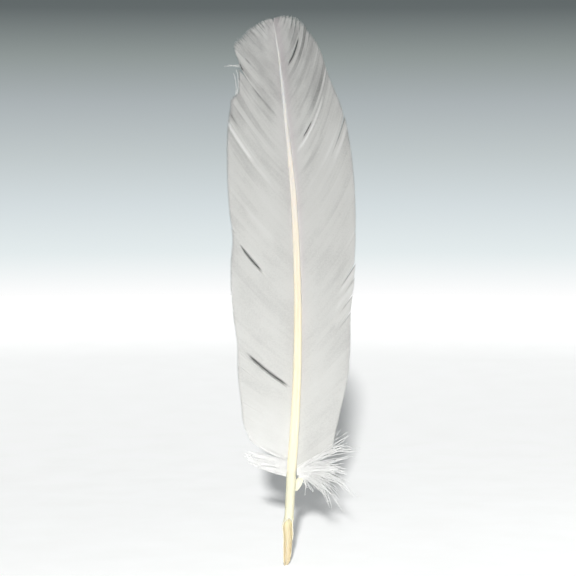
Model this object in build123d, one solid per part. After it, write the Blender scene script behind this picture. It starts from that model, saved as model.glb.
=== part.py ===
from build123d import *
from math import cos, pi, sin
import os

# A goose-feather quill pen, in millimetres.  The origin is the writing tip of the nib, +Z runs up
# the quill to the end of the plume, +X is to the right and -Y is the grooved underside of the
# feather, which is also the side that the nib's scoop is cut on.

# ---- the barrel, a straight hollow tube -------------------------------------------------------
BARREL_R = 2.45            # outside radius of the round barrel
WALL = 0.45                # wall of the barrel and of the nib
SWELL_FOOT = 38.6          # above this height the barrel swells a little towards the shaft
BARREL_TOP = 48.0          # where the hollow barrel turns into the pith-filled shaft
TOP_R = 2.50               # outside radius there
FOOT = (0.48, -2.22)       # x, y of the barrel's axis at the height of the writing tip
LEAN_X = 0.0483            # the axis leans right and back by these slopes as it rises
LEAN_Y = 0.045
CONE_FOOT = 35.0           # lower end of the dried membrane left inside the barrel
CONE_TIP_R = 0.4           # its radius at that end
CONE_SKIN = 0.15           # thickness of that membrane
CONE_GAP = 0.05            # it has shrunk this far off the bore

# ---- the nib ----------------------------------------------------------------------------------
SCOOP_TOP = 25.2           # where the knife first cuts into the front of the barrel
# The tube's outside half width at heights down the nib: the cut walls have sprung a little open.
NIB_WIDTHS = [(26.0, BARREL_R), (20.0, 2.68), (12.0, 2.55), (-1.5, 2.30)]
SLIT_TOP = 12.0            # upper end of the ink slit, where the two tines begin
SLIT = 0.08                # width of the ink slit at rest
SLIT_FOOT_X = -0.12        # where the slit meets the writing edge
ROOT_GAP = 0.02            # clearance at each tine's root
# The cuts to the point, from the front, each from the writing edge upward and outward.
POINT_LEFT = [(-0.85, 0.0), (-1.44, 1.4), (-1.62, 13.0), (-8.0, 21.0)]
POINT_RIGHT = [(0.6, 0.15), (1.95, 2.6), (2.75, 6.4), (3.3, 13.0), (9.0, 21.0)]
# The scoop's long cut from the side, as (y, z) from the front of the barrel down to the point.
SCOOP = [(-3.55, SCOOP_TOP), (-2.3, 22.6), (-1.6, 18.5), (-1.55, 13.0), (-1.3, 6.5), (-0.9, -1.0)]

# ---- the shaft above the barrel: height, x, width, depth --------------------------------------
SHAFT = [
    (48.0, 2.80, 5.00, 5.00),
    (75.0, 4.65, 4.60, 4.50),
    (110.0, 6.00, 4.10, 3.90),
    (150.0, 5.70, 3.50, 3.20),
    (190.0, 3.75, 2.75, 2.50),
    (230.0, -0.30, 1.45, 1.35),
    (251.0, -2.60, 1.00, 0.90),
    (271.0, -5.35, 0.50, 0.45),
]
BOW_FALL = 0.000242        # how quickly the shaft's backward lean turns forward again
GROOVE = 0.20              # depth of the groove along the underside, as a share of the half depth
CORTEX = 0.24              # the horny skin of the shaft as a share of its half width and depth
ROOT_LINE = 0.14           # the webs' roots stand this far off the shaft's outline from the front
PITH_STATIONS = 6          # the pith fills the shaft up to the last of these stations

# ---- the vane ---------------------------------------------------------------------------------
VANE_T = 0.40              # thickness of a web of barbs
CAMBER = 0.0024            # the vane curls towards its underside by this times x squared
VANE_STATIONS = [40.0, 90.0, 140.0, 190.0, 235.0, 285.0]
LEFT_EDGE = [(-6.9, 278.8), (-18.0, 273.5), (-26.0, 262.0), (-27.4, 240.0), (-29.1, 214.0),
             (-28.2, 160.0), (-25.0, 108.0), (-21.0, 72.0), (-18.5, 65.5)]
LEFT_FOOT = [(-18.5, 65.5), (-9.5, 60.5), (-2.6, 56.4), (3.3, 54.2)]
RIGHT_EDGE = [(-6.7, 278.8), (1.0, 279.7), (10.0, 276.6), (17.0, 264.5), (21.5, 250.0), (31.6, 222.5),
              (35.9, 178.0), (35.3, 145.5), (33.0, 113.0), (27.3, 76.0), (24.0, 62.0)]
RIGHT_FOOT = [(24.0, 62.0), (17.5, 57.0), (11.7, 52.3), (2.8, 48.0)]

# Where the vane has come apart.  Each split follows the barbs from the shaft outward, as points
# with half of the split's opening at each.
LEFT_SPLITS = [
    [(6.5, 87.5, 0.06), (0.8, 92.2, 0.12), (-9.3, 99.2, 0.40), (-19.1, 107.9, 0.22),
     (-30.0, 119.0, 0.06)],
    [(7.5, 132.0, 0.06), (-6.0, 144.4, 0.06), (-17.6, 156.0, 0.42), (-23.5, 164.5, 0.20),
     (-32.0, 178.0, 0.06)],
    [(6.5, 181.0, 0.06), (-8.5, 197.5, 0.06), (-20.3, 209.7, 0.10), (-33.0, 234.0, 0.06)],
    [(2.5, 224.0, 0.06), (-3.4, 230.4, 0.06), (-15.0, 242.0, 0.08), (-32.0, 261.0, 0.30)],
]
RIGHT_SPLITS = [
    [(3.0, 108.0, 0.06), (15.0, 124.0, 0.06), (25.8, 139.9, 0.10), (30.4, 146.5, 0.22),
     (40.0, 162.0, 0.45)],
    [(1.5, 172.0, 0.06), (12.5, 188.5, 0.06), (21.1, 203.3, 0.15), (25.6, 213.0, 0.30),
     (33.5, 240.0, 0.15)],
    [(-1.0, 200.0, 0.06), (5.6, 211.0, 0.10), (10.8, 222.9, 0.35), (18.0, 238.0, 0.10),
     (26.0, 260.0, 0.06)],
    [(-6.0, 247.0, 0.06), (1.4, 257.0, 0.20), (5.7, 266.5, 0.35), (10.5, 284.0, 0.10)],
]
LEFT_WEBS = ["left_vane_base_web", "left_vane_lower_web", "left_vane_middle_web",
             "left_vane_upper_web", "left_vane_tip_web"]
RIGHT_WEBS = ["right_vane_base_web", "right_vane_middle_web", "right_vane_upper_web",
              "right_vane_shoulder_web", "right_vane_tip_web"]

# ---- the down at the foot of the vane, and the torn strip below it, from the front ------------
DOWN_T = 4.0               # thickness of a tuft of down
LEFT_DOWN = [(0.6, 53.8), (-2.8, 55.4), (-9.8, 59.3), (-18.8, 63.6), (-21.6, 59.5), (-18.2, 51.8),
             (0.1, 45.4)]
RIGHT_DOWN_UPPER = [(5.4, 46.9), (12.0, 51.3), (18.0, 56.0), (25.0, 61.4), (29.5, 72.0), (33.5, 68.0),
                    (36.2, 59.0), (33.5, 50.0), (20.0, 47.4)]
RIGHT_DOWN_LOWER = [(5.3, 46.4), (20.0, 46.9), (33.3, 49.4), (34.3, 35.5), (28.3, 28.4), (24.0, 27.2),
                    (12.5, 40.0), (9.4, 44.9)]
TAG = [(5.24, 45.8), (7.4, 45.0), (8.4, 43.4), (6.4, 39.4), (4.96, 40.2)]
TAG_T = 1.1                # thickness of the strip left where barbs were stripped away

THROUGH = 60.0             # a cut this deep goes right through the feather
UPRIGHT = (Align.CENTER, Align.CENTER, Align.MIN)


def axis_at(z):
    """The barrel's axis at height z."""
    return Vector(FOOT[0] + LEAN_X * z, FOOT[1] + LEAN_Y * z, z)


def bow(z):
    """The y of the shaft's line at height z: it leaves the barrel leaning back, then bows forward."""
    rise = z - BARREL_TOP
    return axis_at(BARREL_TOP).Y + LEAN_Y * rise - BOW_FALL * max(rise, 0) ** 2


def barrel_plane(z):
    """The plane square to the barrel's axis at height z, its x to the right and its y to the back."""
    return Plane(origin=axis_at(z), x_dir=(1, 0, -LEAN_X), z_dir=(LEAN_X, LEAN_Y, 1))


def shaft_plane(i):
    """The plane across the shaft at station i."""
    z, x = SHAFT[i][:2]
    if i == 0:
        return barrel_plane(z)
    lower, upper = SHAFT[i - 1], SHAFT[min(i + 1, len(SHAFT) - 1)]
    along = Vector(upper[1] - lower[1], bow(upper[0]) - bow(lower[0]), upper[0] - lower[0])
    return Plane(origin=(x, bow(z), z), x_dir=(1, 0, -along.X / along.Z), z_dir=along)


def shaft_section(i, share):
    """The shaft's outline at station i: round at the barrel, above it squarer with a grooved underside."""
    half_width, half_depth = SHAFT[i][2] / 2 * share, SHAFT[i][3] / 2 * share
    points = []
    for step in range(12):
        turn = 2 * pi * step / 12 - pi / 2
        reach = 1.0
        if i > 0 and step == 0:
            reach = 1 - GROOVE
        elif i > 0 and step % 3:
            reach = 1.06
        points.append((half_width * reach * cos(turn), half_depth * reach * sin(turn)))
    return shaft_plane(i) * make_face(Spline(*points, periodic=True))


def shaft_solid(share, stations):
    """The shaft's form up to a station, full size or shrunk about its own line."""
    return loft([shaft_section(i, share) for i in range(stations)])


def from_front(outline, thickness, y=0.0):
    """A plate with the given (x, z) outline, square to Y and centred on y."""
    return Pos(0, y, 0) * extrude(Plane.XZ * make_face(outline), thickness / 2, both=True)


def nib_blank():
    """The tube of the nib before the knife, sprung open at its shoulders."""
    outer = loft([barrel_plane(z) * Ellipse(rx, BARREL_R) for z, rx in NIB_WIDTHS])
    inner = loft([barrel_plane(z) * Ellipse(rx - WALL, BARREL_R - WALL) for z, rx in NIB_WIDTHS])
    return outer - inner


def cut_nib(blank):
    """The knife's work: the long scoop at the front and the cuts on both sides of the point."""
    low = SCOOP[-1][1]
    profile = Spline(*SCOOP) + Polyline(SCOOP[-1], (-20.0, low), (-20.0, SCOOP_TOP), SCOOP[0])
    scoop = extrude(Plane.YZ * make_face(profile), 20, both=True)
    kept = Polyline(*POINT_LEFT, (-8.0, 60.0), (9.0, 60.0), *reversed(POINT_RIGHT), close=True)
    return (blank - scoop) & from_front(kept, THROUGH)


def slab(low, high):
    """Everything between two heights."""
    return Pos(0, 0, (low + high) / 2) * Box(200, 200, high - low)


def tine(nib, side):
    """The nib below the slit's top, on one side of the ink slit: side is -1 for left, +1 for right."""
    lean = (axis_at(SLIT_TOP).X - axis_at(0).X) / SLIT_TOP
    near = SLIT_FOOT_X + side * SLIT / 2
    low, high, far = -5, 30, side * 40
    half = Polyline((near + low * lean, low), (near + high * lean, high), (far, high), (far, low), close=True)
    return nib & slab(low, SLIT_TOP - ROOT_GAP) & from_front(half, THROUGH)


def barrel(nib):
    """The round barrel with the shoulders of the nib, down to the roots of the tines."""
    ring = barrel_plane(NIB_WIDTHS[0][0]) * (Circle(BARREL_R) - Circle(BARREL_R - WALL))
    length = (axis_at(SWELL_FOOT) - axis_at(NIB_WIDTHS[0][0])).length
    rise = (axis_at(BARREL_TOP) - axis_at(SWELL_FOOT)).length
    swell = Cone(BARREL_R, TOP_R, rise, align=UPRIGHT)
    swell -= Cone(BARREL_R - WALL, TOP_R - WALL, rise, align=UPRIGHT)
    return (nib & slab(SLIT_TOP, 60)) + extrude(ring, length) + barrel_plane(SWELL_FOOT).location * swell


def membrane():
    """The dried pulp membrane left in the top of the bore: a thin hollow cone, point down."""
    top_r = BARREL_R - WALL - CONE_GAP
    height = BARREL_TOP - CONE_FOOT
    cone = Cone(CONE_TIP_R, top_r, height, align=UPRIGHT)
    hollow = Cone(CONE_TIP_R - CONE_SKIN, top_r - CONE_SKIN, height, align=UPRIGHT)
    return barrel_plane(CONE_FOOT - CONE_GAP).location * (cone - Pos(0, 0, 2 * CONE_SKIN) * hollow)


def shaft_x(z):
    """The x of the shaft's line at height z, straight between stations and past the last ones."""
    for (z0, x0, _, _), (z1, x1, _, _) in zip(SHAFT, SHAFT[1:]):
        if z <= z1:
            break
    return x0 + (x1 - x0) * (z - z0) / (z1 - z0)


def vane_sheet(side):
    """One side's curved sheet: it follows the shaft's bow, and curls forward away from the shaft."""
    sections = []
    for z in VANE_STATIONS:
        middle = shaft_x(z)
        front, back = [], []
        for reach in (-9.0, 10.0, 24.0, 42.0):
            y = bow(z) - CAMBER * max(reach, 0) ** 2
            front.append((middle + side * reach, y - VANE_T / 2))
            back.append((middle + side * reach, y + VANE_T / 2))
        edges = Spline(*front) + Line(front[-1], back[-1]) + Spline(*reversed(back)) + Line(back[0], front[0])
        sections.append(Pos(0, 0, z) * make_face(edges))
    return loft(sections)


def split_cut(points):
    """The thin space that a split leaves, drawn from the front and carried through the vane."""
    one_side, other_side = [], []
    for i, (x, z, half) in enumerate(points):
        x0, z0 = points[max(i - 1, 0)][:2]
        x1, z1 = points[min(i + 1, len(points) - 1)][:2]
        across = Vector(z0 - z1, x1 - x0).normalized() * half
        one_side.append((x + across.X, z + across.Y))
        other_side.append((x - across.X, z - across.Y))
    edges = Spline(*one_side) + Line(one_side[-1], other_side[-1])
    edges += Spline(*reversed(other_side)) + Line(other_side[0], one_side[0])
    return from_front(edges, THROUGH)


def shaft_shadow():
    """The shaft's outline from the front, carried right through the vane."""
    left, right = (Spline(*[(x + side * (width / 2 + ROOT_LINE), z) for z, x, width, _ in SHAFT])
                   for side in (-1, 1))
    foot, tip = (Line(left @ t, right @ t) for t in (0, 1))
    return from_front(left + tip + right + foot, THROUGH)


def webs(side, edge, foot, splits):
    """One side of the vane, cut apart where it has split, from the foot upward."""
    line = [foot[-1]] + [(x, z) for z, x, _, _ in SHAFT[1:]]
    outline = Spline(*edge) + Polyline(*foot) + Spline(*line) + Line(line[-1], edge[0])
    vane = (vane_sheet(side) & from_front(outline, THROUGH)) - shaft_shadow()
    for points in splits:
        vane -= split_cut(points)
    return sorted(vane.solids(), key=lambda s: s.center().Z)


def plate(outline, thickness):
    """A plain closed form, centred on the shaft's line from the side."""
    return from_front(Polyline(*outline, close=True), thickness, bow(BARREL_TOP))


def build():
    """Every piece of the pen, by name."""
    nib = cut_nib(nib_blank())
    shaft = shaft_solid(1.0, len(SHAFT))
    pith = shaft_solid(1 - CORTEX, PITH_STATIONS)
    parts = {
        "barrel": barrel(nib),
        "nib_left_tine": tine(nib, -1),
        "nib_right_tine": tine(nib, 1),
        "barrel_membrane": membrane(),
        "shaft_skin": shaft - pith,
        "shaft_pith": pith,
    }
    parts.update(zip(LEFT_WEBS, webs(-1, LEFT_EDGE, LEFT_FOOT, LEFT_SPLITS)))
    parts.update(zip(RIGHT_WEBS, webs(1, RIGHT_EDGE, RIGHT_FOOT, RIGHT_SPLITS)))
    parts["left_down_tuft"] = plate(LEFT_DOWN, DOWN_T)
    parts["right_down_upper_tuft"] = plate(RIGHT_DOWN_UPPER, DOWN_T)
    parts["right_down_lower_tuft"] = plate(RIGHT_DOWN_LOWER, DOWN_T)
    parts["stripped_barb_tag"] = plate(TAG, TAG_T)
    return parts


if __name__ == "__main__":
    os.makedirs("parts", exist_ok=True)
    for name, shape in build().items():
        export_step(shape, f"parts/{name}.step")
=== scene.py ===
import math

import bpy
import numpy as np
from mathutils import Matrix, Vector


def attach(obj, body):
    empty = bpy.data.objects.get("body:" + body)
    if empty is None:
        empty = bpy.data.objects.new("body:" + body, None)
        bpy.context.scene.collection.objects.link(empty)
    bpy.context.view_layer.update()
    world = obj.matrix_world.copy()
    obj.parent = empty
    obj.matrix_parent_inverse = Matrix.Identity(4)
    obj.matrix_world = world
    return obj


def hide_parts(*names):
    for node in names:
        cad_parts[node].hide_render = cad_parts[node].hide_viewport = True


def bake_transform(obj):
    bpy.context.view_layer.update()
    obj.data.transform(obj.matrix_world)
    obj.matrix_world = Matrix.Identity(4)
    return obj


# A goose-feather quill pen.  Its lengths are in millimetres and become metres in make(); the studio
# is in metres.  The origin is the writing tip, +Z runs up the quill, +X is to the right and -Y is the
# front, the grooved underside of the feather.

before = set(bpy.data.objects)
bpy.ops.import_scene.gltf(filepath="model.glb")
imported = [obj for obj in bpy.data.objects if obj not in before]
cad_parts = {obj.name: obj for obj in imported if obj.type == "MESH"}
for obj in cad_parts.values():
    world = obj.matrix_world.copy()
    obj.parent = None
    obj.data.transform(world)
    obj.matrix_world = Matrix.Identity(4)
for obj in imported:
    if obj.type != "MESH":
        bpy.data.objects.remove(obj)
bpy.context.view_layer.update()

MM = 0.001
FRONT = np.array([0.0, -1.0, 0.0])

# ---- the quill's own dimensions ----
# They are the CAD's, but for the nib's right edge and swell and the shaft's end.
WALL = 0.45  # thickness of the horn
SLIT_TOP = 12.0  # height at which the tines part
BARREL_TOP = 48.0  # height at which the barrel becomes the shaft
SHAFT_TOP = 276.0  # height at which the shaft ends
FOOT = (0.48, -2.22)  # x and y of the tube's axis at height 0
LEAN_X = 0.0483  # how far the axis leans per millimetre of height
LEAN_Y = 0.045
BOW_FALL = 0.000242  # how strongly the shaft bows forward again
CAMBER = 0.0024  # how strongly the vane curls forward away from the shaft
SCOOP_TOP = 25.2  # height of the top of the scoop
SLIT_HALF = 0.04  # half the width of the ink slit
SLIT_FOOT_X = -0.12  # x of the slit at height 0
# height, half width across, half depth of the barrel and nib
TUBE = [
    (-1.5, 2.30, 2.45), (12, 2.55, 2.45), (20, 2.78, 2.45), (26, 2.45, 2.45), (38.6, 2.45, 2.45),
    (48, 2.50, 2.50),
]
# height, y of the scoop's cut
SCOOP = [(-1.0, -0.9), (6.5, -1.3), (13.0, -1.55), (18.5, -1.6), (22.6, -2.3), (25.2, -3.55)]
# height, x of the nib's left and right edges; the last row lies outside the tube, where nothing is cut
POINT_LEFT = [(0.0, -0.85), (1.4, -1.44), (13.0, -1.62), (21.0, -8.0)]
POINT_RIGHT = [(0.15, 0.95), (2.6, 2.25), (6.4, 2.95), (13.0, 3.4), (21.0, 9.0)]
# height, x, width, depth of the shaft
SHAFT = [
    (48, 2.80, 5.00, 5.00), (75, 4.65, 4.60, 4.50), (110, 6.00, 4.10, 3.90), (150, 5.70, 3.50, 3.20),
    (190, 3.75, 2.75, 2.50), (230, -0.30, 1.45, 1.35), (251, -2.60, 1.00, 0.90), (271, -5.35, 0.40, 0.36),
    (276, -6.30, 0.12, 0.12),
]

# ---- the barbs ----
# height of the root, x and z of the tip, the angle in degrees that the barb leaves at
LEFT_BARBS = [
    (54.4, -18.6, 65.3, 14), (59.0, -21.1, 71, 22), (70, -23.3, 85.5, 30), (82, -24.8, 102, 32),
    (90, -25.0, 113.3, 33), (102, -27.2, 129.5, 36), (112, -28.2, 142.5, 38), (122.5, -28.2, 156, 40),
    (133, -27.3, 168.5, 42), (144, -28.8, 180.5, 43), (186.7, -29.2, 228, 44), (196, -28.2, 234, 44),
    (202, -27.5, 238.4, 44), (206, -24.6, 241.0, 44), (214, -23.9, 246.2, 44), (224, -23.6, 253, 44),
    (230, -24.3, 257.3, 45), (236, -26.1, 262.6, 46), (241, -25.7, 266.2, 47), (247, -22.6, 269, 48),
    (257, -18.4, 273, 49), (265, -12.9, 276.2, 56), (271, -9.9, 277.3, 66), (276, -7.2, 277.8, 82),
]
RIGHT_BARBS = [
    (48.5, 24, 62, 27), (62, 28.1, 79.8, 32), (75, 31.8, 97, 36), (87, 33.0, 112.5, 39),
    (100, 33.3, 130, 41), (111, 34.7, 144, 43), (120, 35.3, 157, 44), (150, 34.9, 195, 46),
    (183, 29.3, 231, 49), (206, 21.6, 250, 51), (225, 16.9, 263.5, 52), (232, 14.4, 268, 53),
    (240, 11.5, 272.3, 52), (248, 8.2, 276.5, 52), (256, 5.0, 278.5, 56), (264, 1.4, 279.3, 62),
    (270, -2.4, 279.2, 72), (276, -6.3, 278.2, 92),
]
PITCH = 0.5  # height between the roots of two barbs
STEPS = 24  # points along a barb

# Where neighbouring barbs have come unzipped: the inner end, the outer end, half the opening, the kind.
# An open one runs on to the edge of the vane, a hole opens only near it, a lens closes again, and a
# crease is only a line of painted shade, with no opening.  The splits part the webs, the ruffles don't.
LEFT_SPLITS = [
    ((1.9, 91.4), (-20.3, 109.3), 0.27, "lens"),
    ((-11.9, 149.9), (-23.0, 164.2), 0.29, "lens"),
    ((-8.5, 197.5), (-28.6, 226.4), 0.05, "open"),
    ((-4.7, 230.5), (-23.9, 253.3), 0.75, "hole"),
]
RIGHT_SPLITS = [
    ((25.7, 139.9), (35.0, 154.6), 0.28, "open"),
    ((21.0, 203.3), (29.0, 230.5), 0.26, "open"),
    ((8.6, 218.0), (12.8, 227.4), 0.13, "lens"),
    ((0.6, 254.4), (6.4, 268.4), 0.26, "lens"),
]
LEFT_RUFFLES = [
    ((-24.5, 168.5), (-27.9, 173.5), 0.16, "open"),
    ((-17.5, 61.6), (-18.6, 63.4), 0.10, "open"),
    ((-17.4, 254.4), (-20.8, 258.6), 0.05, "crease"),
    ((-16.2, 258.2), (-18.8, 261.6), 0.05, "crease"),
    ((-21.4, 252.2), (-24.2, 255.4), 0.30, "lens"),
    ((-20.0, 262.5), (-24.8, 267.3), 0.18, "open"),
    ((-13.0, 266.5), (-18.3, 273.4), 0.12, "open"),
    ((-9.8, 271.0), (-12.8, 276.8), 0.18, "open"),
]
RIGHT_RUFFLES = [
    ((27.0, 136.6), (34.8, 147.9), 0.14, "open"),
    ((26.0, 127.5), (34.4, 139.6), 0.20, "open"),
    ((25.0, 119.0), (33.8, 131.6), 0.13, "open"),
    ((28.0, 158.5), (35.6, 170.0), 0.06, "open"),
    ((16.5, 238.0), (21.2, 250.6), 0.10, "open"),
    ((12.5, 248.5), (17.2, 262.5), 0.08, "open"),
    ((9.0, 256.5), (13.2, 274.0), 0.10, "open"),
    ((6.4, 268.2), (7.0, 277.6), 0.26, "open"),
    ((2.0, 269.0), (3.2, 278.8), 0.26, "open"),
    ((4.6, 270.0), (5.4, 278.4), 0.10, "open"),
    ((-1.6, 271.5), (-0.6, 279.0), 0.14, "open"),
]
# Where the vane is creased along its barbs: inner end, outer end, width in barbs, height, painted
# highlight, which is painted shade where it is negative
LEFT_FOLDS = [
    ((-18.5, 207.5), (-28.7, 226.4), 2.2, 0.55, 0.75),
    ((-7.5, 197.0), (-18.0, 207.0), 2.0, 0.25, 0.16),
    ((-4.7, 230.5), (-15.0, 240.0), 2.2, 0.25, -0.16),
    ((-25.6, 223.8), (-27.9, 231.0), 1.3, -0.20, -0.22),
    ((-6.0, 166.0), (-18.0, 181.0), 5.0, 0.30, 0.10),
]
RIGHT_FOLDS = [
    ((7.2, 212.4), (17.4, 234.5), 1.8, 0.50, 0.70),
    ((9.4, 206.0), (17.0, 218.0), 3.0, 0.30, 0.14),
    ((27.5, 140.5), (34.0, 150.0), 2.4, 0.35, 0.16),
    ((26.0, 132.0), (34.0, 143.0), 2.4, 0.35, 0.14),
    ((25.5, 124.0), (33.0, 134.0), 2.4, 0.35, 0.12),
    ((24.0, 206.0), (29.5, 225.0), 3.5, 0.30, 0.10),
]

# ---- the locks of down ----
# the tip, how the middle is pushed, the share of the barbs, the spread, how far behind the vane
RIGHT_UPPER_LOCKS = [
    ((31.3, 72.2), (1.5, -4.2), 5, 0.7, 2.0), ((33.6, 67.8), (1.8, -3.0), 5, 0.7, 1.6),
    ((30.0, 69.0), (1.5, -4.0), 3, 1.2, 1.8), ((35.9, 59.5), (2.0, 6.5), 9, 0.9, 0.4),
    ((33.8, 61.5), (1.0, 5.0), 7, 1.2, 0.6), ((35.9, 56.8), (0, -0.5), 8, 0.7, 0),
    ((27.6, 49.0), (1.0, 4.5), 12, 1.0, -0.9), ((25.0, 51.5), (0, 3.0), 10, 1.2, -0.6),
    ((33.4, 49.8), (0, 4.5), 9, 0.8, -0.3), ((33.4, 46.8), (0.5, 5.0), 8, 0.8, -0.2),
    ((27.0, 57.0), (0.5, 1.5), 9, 1.8, 0.3), ((20.0, 54.5), (0, 1.5), 9, 1.4, -0.5),
]
RIGHT_LOWER_LOCKS = [
    ((11.9, 37.4), (0.6, 1.6), 4, 0.3, 0), ((10.2, 39.2), (0.3, 1.2), 3, 0.3, 0),
    ((13.8, 38.8), (0.6, 2.0), 4, 0.5, 0), ((19.6, 36.0), (1.5, 4.0), 7, 0.8, 0),
    ((24.1, 26.6), (4.3, 9.0), 9, 0.4, 0), ((28.7, 28.2), (2.0, 8.0), 6, 0.5, 0),
    ((35.2, 34.7), (4.0, 10.0), 9, 0.6, 0), ((30.9, 39.2), (3.5, 7.0), 8, 0.9, 0.3),
    ((27.8, 34.2), (3.2, 7.5), 8, 1.0, 0), ((32.6, 42.0), (2.0, 6.5), 8, 1.0, 0.4),
    ((24.5, 38.6), (2.5, 4.5), 9, 1.3, 0), ((20.5, 42.6), (1.0, 2.5), 10, 1.4, -0.4),
    ((26.5, 44.2), (1.5, 4.0), 9, 1.4, 0), ((15.8, 41.2), (1.0, 2.6), 8, 1.0, -0.3),
    ((19.0, 39.4), (1.6, 3.6), 8, 1.1, 0.2), ((22.6, 36.2), (2.6, 5.2), 7, 0.9, -0.3),
    ((21.8, 31.6), (3.2, 7.2), 6, 0.6, 0.2), ((23.6, 41.0), (1.8, 3.6), 8, 1.2, 0.3),
]
LEFT_LOCKS = [
    ((-22.6, 58.4), (0, 0.4), 10, 0.8, 0), ((-21.4, 56.8), (0, 0.2), 9, 0.8, 0),
    ((-20.2, 55.2), (0, 0), 9, 0.5, 0), ((-18.8, 53.4), (0, -0.2), 9, 0.4, 0),
    ((-17.1, 51.9), (0, -0.5), 11, 0.3, 0), ((-13.9, 60.9), (0, 0), 2, 0.2, 0),
    ((-18.4, 58.6), (0, 0), 8, 0.5, 0), ((-20.8, 59.0), (0, 0.2), 8, 0.4, 0),
    ((-11.5, 57.6), (0, 0), 8, 0.4, 0), ((-8.0, 55.9), (0, 0), 8, 0.4, 0),
    ((-13.0, 56.5), (0, 0), 10, 1.0, 0), ((-10.5, 52.6), (0, -0.2), 8, 0.7, 0),
    ((-5.0, 53.0), (0, 0), 7, 0.6, 0), ((-12.0, 50.4), (0, -0.4), 7, 0.3, 0),
]


# ---- small tools ----
def smooth(rows, column=1):
    """A smooth curve through a table's first column and another one, as a function of arrays."""
    xs = np.array([row[0] for row in rows], float)
    ys = np.array([row[column] for row in rows], float)
    slopes = np.gradient(ys, xs)

    def at(x):
        x = np.clip(np.asarray(x, float), xs[0], xs[-1])
        i = np.clip(np.searchsorted(xs, x) - 1, 0, len(xs) - 2)
        step = xs[i + 1] - xs[i]
        t = (x - xs[i]) / step
        value = ys[i] * (1 + 2 * t) * (1 - t) ** 2 + ys[i + 1] * t * t * (3 - 2 * t)
        return value + slopes[i] * step * t * (1 - t) ** 2 + slopes[i + 1] * step * t * t * (t - 1)

    return at


def ease(t):
    """0 below 0 and 1 above 1, with a smooth step between."""
    t = np.clip(t, 0, 1)
    return t * t * (3 - 2 * t)


def noise(seed, u, v=0.0):
    """Smooth seeded noise of two coordinates, from -1 to 1."""
    u, v = np.broadcast_arrays(np.asarray(u, float), np.asarray(v, float))
    grid = np.random.default_rng(seed).uniform(-1, 1, (64, 64))
    i, j = np.floor(u).astype(int), np.floor(v).astype(int)
    s, t = ease(u - i), ease(v - j)
    a, b = grid[i % 64, j % 64], grid[(i + 1) % 64, j % 64]
    c, d = grid[i % 64, (j + 1) % 64], grid[(i + 1) % 64, (j + 1) % 64]
    return (a * (1 - s) + b * s) * (1 - t) + (c * (1 - s) + d * s) * t


def unit(a):
    """Vectors scaled to length 1."""
    return a / np.maximum(np.linalg.norm(a, axis=-1, keepdims=True), 1e-9)


def place(name, data):
    """A new object in the scene."""
    made = bpy.data.objects.new(name, data)
    bpy.context.scene.collection.objects.link(made)
    return made


def aim(way):
    """The rotation that faces a lamp or the camera along a direction."""
    return Vector(way).to_track_quat("-Z", "Y").to_euler()


def make(name, parts, material, nodes, body="quill"):
    """One visible piece from (points, faces, attributes) groups: it replaces CAD nodes and rides a body."""
    points, faces, layers, start = [], [], {}, 0
    for verts, polys, extra in parts:
        verts = np.asarray(verts, float).reshape(-1, 3)
        points.append(verts)
        faces += [np.asarray(p, int).reshape(len(p), -1) + start for p in polys if len(p)]
        for key in set(layers) | set(extra):
            layers.setdefault(key, np.zeros(start))
            values = np.asarray(extra.get(key, np.zeros(len(verts))), float).ravel()
            layers[key] = np.concatenate([layers[key], values])
        start += len(verts)
    mesh = bpy.data.meshes.new(name)
    mesh.vertices.add(start)
    mesh.vertices.foreach_set("co", (np.concatenate(points) * MM).astype(np.float32).ravel())
    loops = np.concatenate([f.ravel() for f in faces])
    sizes = np.concatenate([np.full(len(f), f.shape[1]) for f in faces])
    mesh.loops.add(len(loops))
    mesh.loops.foreach_set("vertex_index", loops.astype(np.int32))
    mesh.polygons.add(len(sizes))
    mesh.polygons.foreach_set("loop_start", np.concatenate([[0], np.cumsum(sizes)[:-1]]).astype(np.int32))
    mesh.polygons.foreach_set("use_smooth", np.ones(len(sizes), bool))
    for key, values in layers.items():
        mesh.attributes.new(key, "FLOAT", "POINT").data.foreach_set("value", values.astype(np.float32))
    mesh.update(calc_edges=True)
    mesh.validate()
    mesh.materials.append(material)
    piece = place(name, mesh)
    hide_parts(*nodes)
    if body:
        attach(piece, body)
    return piece


def grid_faces(rows, columns, wrap=False, flip=False):
    """Quads over a rows by columns grid of points, closed round the columns if wrap."""
    across = columns if wrap else columns - 1
    i, j = np.meshgrid(np.arange(rows - 1), np.arange(across), indexing="ij")
    j1 = (j + 1) % columns
    quads = np.stack([i * columns + j, i * columns + j1, (i + 1) * columns + j1, (i + 1) * columns + j], -1)
    quads = quads.reshape(-1, 4)
    return quads[:, ::-1] if flip else quads


def cut_band(near, far, flip):
    """A pale cut edge between two rows of points."""
    faces = grid_faces(len(near), 2, flip=flip)
    return np.stack([near, far], 1), [faces], {"cut": np.ones(len(near) * 2)}


def tubes(paths, radii, sides):
    """Tapered round strands along many paths at once: paths is strands x steps x 3, radii one a step."""
    count, steps = paths.shape[:2]
    along = unit(np.gradient(paths, axis=1))
    across = unit(np.cross(along, FRONT + np.array([0.03, 0, 0.05])))
    other = np.cross(along, across)
    turn = np.arange(sides) * 2 * np.pi / sides
    ring = across[:, :, None] * np.cos(turn)[:, None] + other[:, :, None] * np.sin(turn)[:, None]
    verts = paths[:, :, None] + ring * radii[:, None, None]
    one = grid_faces(steps, sides, wrap=True)
    quads = (one[None] + np.arange(count)[:, None, None] * steps * sides).reshape(-1, 4)
    base = np.arange(count)[:, None] * steps * sides
    low = base + np.arange(sides)[::-1]
    high = base + (steps - 1) * sides + np.arange(sides)
    return verts.reshape(-1, 3), [quads, low, high]


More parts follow.
